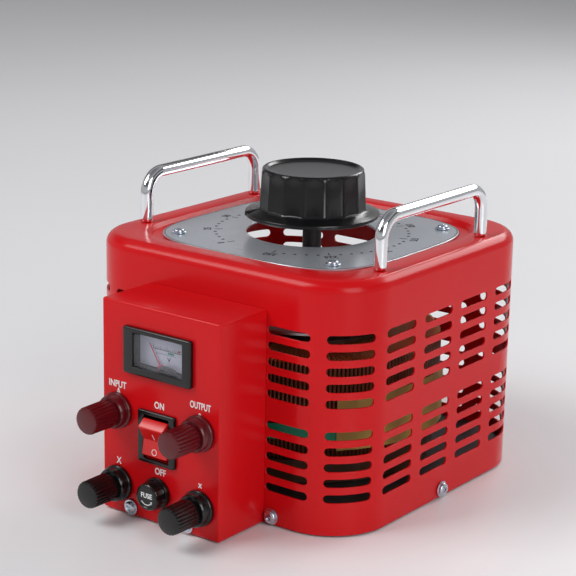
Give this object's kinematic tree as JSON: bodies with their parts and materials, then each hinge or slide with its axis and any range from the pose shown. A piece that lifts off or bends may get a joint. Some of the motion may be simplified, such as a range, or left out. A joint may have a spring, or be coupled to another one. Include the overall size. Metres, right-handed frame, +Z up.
{
  "type": "variable autotransformer",
  "caption": "Variable autotransformer in a slotted sheet-metal case with a top dial and control knob, carrying handles, and a front terminal box with voltmeter, switch, fuse and binding posts.",
  "frame": {"origin": "bottom centre of the bounding box, on the surface that the rubber feet rest on", "axes": "+Z up, -Y the front with the terminal box, +X the right-hand side seen from the front; the case's own centre line is at y = +0.0325 m"},
  "size_m": [0.2068, 0.269, 0.188],
  "materials": {
    "red_enamel": "glossy stoved enamel",
    "chrome": "polished chrome plate",
    "zinc": "bright zinc plate",
    "dial_silver": "satin anodised, printed in black",
    "black_plastic": "glossy moulded black",
    "red_plastic": "glossy moulded dark red",
    "rocker_red": "glossy moulded bright red",
    "clear_window": "clear polished",
    "meter_card": "matt printed card",
    "needle_red": "painted",
    "rubber": "matt black rubber",
    "steel": "turned steel",
    "dark_steel": "dark primer",
    "core_steel": "varnished electrical steel strip",
    "copper_winding": "varnished copper wire, bare on the track",
    "band_green": "woven tape, varnished",
    "insulation_tan": "insulation paper, varnished",
    "bakelite": "moulded phenolic",
    "aluminium": "turned aluminium",
    "brass": "turned brass",
    "carbon": "carbon"
  },
  "bodies": {
    "base": {"base_plate": "dark_steel", "case_cover": "red_enamel", "centre_tube": "steel", "clamp_nut": "zinc", "clamp_plate": "bakelite", "core_support": "bakelite", "cover_screw_front": "zinc", "cover_screw_left": "zinc", "cover_screw_rear": "zinc", "cover_screw_right": "zinc", "dial_plate": "dial_silver", "dial_screw_front_left": "zinc", "dial_screw_front_right": "zinc", "dial_screw_rear_left": "zinc", "dial_screw_rear_right": "zinc", "foot_front_left": "rubber", "foot_front_right": "rubber", "foot_rear_left": "rubber", "foot_rear_right": "rubber", "fuse_holder": "black_plastic", "handle_left": "chrome", "handle_nut_front_left": "zinc", "handle_nut_front_right": "zinc", "handle_nut_rear_left": "zinc", "handle_nut_rear_right": "zinc", "handle_right": "chrome", "insulation_sheet": "insulation_tan", "meter_case": "black_plastic", "meter_dial": "meter_card", "meter_window": "clear_window", "panel_box": "red_enamel", "panel_screw_left": "zinc", "panel_screw_right": "zinc", "post_input_bottom_collar": "black_plastic", "post_input_bottom_stud": "brass", "post_input_top_collar": "red_plastic", "post_input_top_stud": "brass", "post_output_bottom_collar": "black_plastic", "post_output_bottom_stud": "brass", "post_output_top_collar": "red_plastic", "post_output_top_stud": "brass", "switch_body": "black_plastic", "toroid_core": "core_steel", "toroid_winding": "copper_winding", "winding_band": "band_green"},
    "rotor": {"knob": "black_plastic", "shaft": "dark_steel", "stop_hub": "aluminium", "brush_disc": "aluminium", "brush_holder": "brass", "carbon_brush": "carbon"},
    "rocker": {"switch_rocker": "rocker_red"},
    "needle": {"meter_needle": "needle_red"},
    "fuse_carrier": {"fuse_cap": "black_plastic", "fuse_link": "clear_window"},
    "cap_input_top": {"post_input_top_cap": "red_plastic"},
    "cap_input_bottom": {"post_input_bottom_cap": "black_plastic"},
    "cap_output_top": {"post_output_top_cap": "red_plastic"},
    "cap_output_bottom": {"post_output_bottom_cap": "black_plastic"}
  },
  "joints": [
    {"name": "control_turn", "type": "hinge", "parent": "base", "child": "rotor", "pos_m": [0, 0.0325, 0.101], "axis": [0, 0, 1], "range_deg": [-305, 20]},
    {"name": "rocker_tilt", "type": "hinge", "parent": "base", "child": "rocker", "pos_m": [-0.00245, -0.104, 0.0526], "axis": [-1, 0, 0], "range_deg": [0, 22]},
    {"name": "needle_swing", "type": "hinge", "parent": "base", "child": "needle", "pos_m": [-0.0043, -0.107, 0.0937], "axis": [0, 1, 0], "range_deg": [0, 80], "stiffness_Nm_per_rad": 0.0001},
    {"name": "fuse_pull", "type": "slide", "parent": "base", "child": "fuse_carrier", "axis": [0, -1, 0], "range_m": [0, 0.015]},
    {"name": "cap_input_top_travel", "type": "slide", "parent": "base", "child": "cap_input_top", "axis": [0, -1, 0], "range_m": [0, 0.006]},
    {"name": "cap_input_bottom_travel", "type": "slide", "parent": "base", "child": "cap_input_bottom", "axis": [0, -1, 0], "range_m": [0, 0.006]},
    {"name": "cap_output_top_travel", "type": "slide", "parent": "base", "child": "cap_output_top", "axis": [0, -1, 0], "range_m": [0, 0.006]},
    {"name": "cap_output_bottom_travel", "type": "slide", "parent": "base", "child": "cap_output_bottom", "axis": [0, -1, 0], "range_m": [0, 0.006]}
  ]
}
